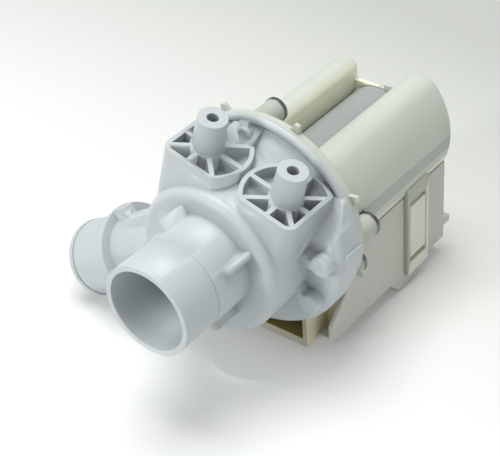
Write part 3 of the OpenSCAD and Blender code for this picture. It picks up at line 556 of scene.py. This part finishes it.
# the screw sleeves take the darker copy of the housing plastic, which is painted shade
repaint(housingShell, shadedSleevePlastic, onSleeve)
softCopy("cover_screws", "coverScrews", screwZinc, bevelWidth=0.12)
for side in ("left", "right"):
    word = side.capitalize()
    softCopy("pole_stack_" + side, "poleStack" + word, stampedSheets,
             bevelWidth=0.15)
    softCopy("coil_former_" + side, "coilFormer" + word, formerPlastic,
             bevelWidth=0.2)
    softCopy("winding_" + side, "winding" + word, windingTape,
             bevelWidth=1.2, segments=3)
softCopy("yoke_stack", "yokeStack", stampedSheets, bevelWidth=0.15)

# the coil frame's tan flanks and the olive floor of its window, in mm
flankAt = {"side": 25.3, "low": -53.0}
windowAt = {"side": 23.5, "low": -50.8, "front": 66}
# the frame takes the darker plastic, which is painted shade
frontBezel = softCopy("coil_frame", "frontBezel", shadedFramePlastic)
repaint(frontBezel, tanPlastic, lambda p: abs(p.x) > flankAt["side"] and p.z > flankAt["low"])
repaint(frontBezel, formerPlastic, lambda p: (
    abs(p.x) < windowAt["side"] and p.z > windowAt["low"] and p.y > windowAt["front"]))

catchAt = {"side": 33.3, "front": 90}  # mm
lowerBox = softCopy("coil_cover", "lowerBox", boxPlastic)
repaint(lowerBox, strapPlastic, lambda p: abs(p.x) > catchAt["side"] and p.y > catchAt["front"])
softCopy("terminals", "terminalTabs", tinnedBrass, bevelWidth=0.12)

# the camera that the photograph's circles and straight edges give
photoCamera = {
    "azimuth": 40.446,
    "elevation": 36.635,
    "roll": -4.851,
    "place": (292.78, -279.24, 334.22),  # mm in the row frame
    "lens": 100.09,
    "sensor": 36.0,
    "clipStart": 0.01,
}


def makeCamera(view):
    a = math.radians(view["azimuth"])
    e = math.radians(view["elevation"])
    roll = math.radians(view["roll"])
    right = Vector((math.cos(a), math.sin(a), 0))
    up = Vector((-math.sin(a) * math.sin(e), math.cos(a) * math.sin(e), math.cos(e)))
    back = Vector((math.sin(a) * math.cos(e), -math.cos(a) * math.cos(e), math.sin(e)))
    turnedRight = right * math.cos(roll) + up * math.sin(roll)
    turnedUp = up * math.cos(roll) - right * math.sin(roll)
    matrix = Matrix((turnedRight, turnedUp, back)).transposed().to_4x4()
    matrix.translation = Vector(view["place"]) * mm
    data = bpy.data.cameras.new("photoCamera")
    data.lens = view["lens"]
    data.sensor_width = view["sensor"]
    data.clip_start = view["clipStart"]
    camera = bpy.data.objects.new("photoCamera", data)
    bpy.context.scene.collection.objects.link(camera)
    camera.matrix_world = matrix
    bpy.context.scene.camera = camera


floorLook = {
    "near": (0.78, 0.79, 0.78), "far": (0.50, 0.515, 0.485),
    "along": (0.20, 0.98, 0), "fadeStart": 0.05, "fadeEnd": 0.32,
    "glow": 0.18, "rough": 0.9, "specular": 0.1,
    "reach": 3,
    "below": 0.05,  # mm
}


# a pale floor that fades from white in front to light grey behind, a painted falloff of light,
# with the object's shadow; it also glows for camera, mirror and transmission rays
def makeFloor(look):
    shape = bmesh.new()
    bmesh.ops.create_grid(shape, x_segments=1, y_segments=1, size=look["reach"])
    mesh = bpy.data.meshes.new("paleFloor")
    shape.to_mesh(mesh)
    shape.free()
    floor = bpy.data.objects.new("paleFloor", mesh)
    floor.location = (0, 0, cadLow.z - look["below"] * mm)
    bpy.context.scene.collection.objects.link(floor)
    material, tree, shader = newMaterial("paleFloor")
    link = tree.links.new
    along = place(tree, "ShaderNodeVectorMath", operation="DOT_PRODUCT")
    along.inputs[1].default_value = look["along"]
    link(place(tree, "ShaderNodeTexCoord").outputs["Object"], along.inputs[0])
    fade = rescale(tree, along.outputs["Value"], look["fadeStart"], look["fadeEnd"])
    tone = mixColours(tree, fade, (*look["near"], 1), (*look["far"], 1))
    link(tone, shader.inputs["Base Color"])
    link(tone, shader.inputs["Emission Color"])
    rays = place(tree, "ShaderNodeLightPath").outputs
    mirrored = calculate(tree, "MAXIMUM", rays["Is Glossy Ray"], rays["Is Transmission Ray"])
    shown = calculate(tree, "MAXIMUM", rays["Is Camera Ray"], mirrored)
    link(calculate(tree, "MULTIPLY", shown, look["glow"]), shader.inputs["Emission Strength"])
    shader.inputs["Roughness"].default_value = look["rough"]
    shader.inputs["Specular IOR Level"].default_value = look["specular"]
    floor.data.materials.append(material)


roomLook = {"colour": (0.98, 1.0, 0.995), "strength": 0.43}


def makeWorld(look):
    world = bpy.data.worlds.new("softRoom")
    bpy.context.scene.world = world
    world.use_nodes = True
    background = world.node_tree.nodes["Background"]
    background.inputs["Color"].default_value = (*look["colour"], 1)
    background.inputs["Strength"].default_value = look["strength"]


def hangLamp(name, data, look):
    data.energy = look["power"]
    data.color = look["colour"]
    lamp = bpy.data.objects.new(name, data)
    bpy.context.scene.collection.objects.link(lamp)
    lamp.location = look["spot"]
    towards = Vector(look["aim"]) - Vector(look["spot"])
    lamp.rotation_euler = towards.to_track_quat("-Z", "Y").to_euler()


def areaLamp(name, look):
    data = bpy.data.lights.new(name, "AREA")
    data.shape = "DISK"
    data.size = look["size"]
    hangLamp(name, data, look)


def coneLamp(name, look):
    data = bpy.data.lights.new(name, "SPOT")
    data.shadow_soft_size = look["size"]
    data.spot_size = math.radians(look["cone"])
    data.spot_blend = look["blend"]
    hangLamp(name, data, look)


# metres, watts and degrees
keyLamp = {
    "spot": (-0.10, 0.08, 1.0), "aim": (0, 0.07, 0),
    "size": 0.7, "power": 8.2, "colour": (1.0, 1.0, 0.99),
}
frontLamp = {
    "spot": (-0.30, -0.88, 0.42), "aim": (0, 0.05, 0),
    "size": 0.22, "power": 3.4, "colour": (1, 1, 1),
}
sideLamp = {
    "spot": (0.95, 0.35, 0.30), "aim": (0, 0.10, 0),
    "size": 0.7, "power": 0.45, "colour": (1, 1, 1),
}
mouthLamp = {  # reaches into the inlet
    "spot": (-0.03, -0.60, 0.62), "aim": (0, 0, -0.0012),
    "size": 0.01, "power": 27.0, "colour": (1, 1, 1), "cone": 1.85, "blend": 1.0,
}

say("camera, floor and lamps")
makeCamera(photoCamera)
makeFloor(floorLook)
makeWorld(roomLook)
areaLamp("keyLamp", keyLamp)
areaLamp("frontLamp", frontLamp)
areaLamp("sideLamp", sideLamp)
coneLamp("mouthLamp", mouthLamp)
bpy.context.scene.view_settings.view_transform = "Standard"

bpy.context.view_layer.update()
say("done")
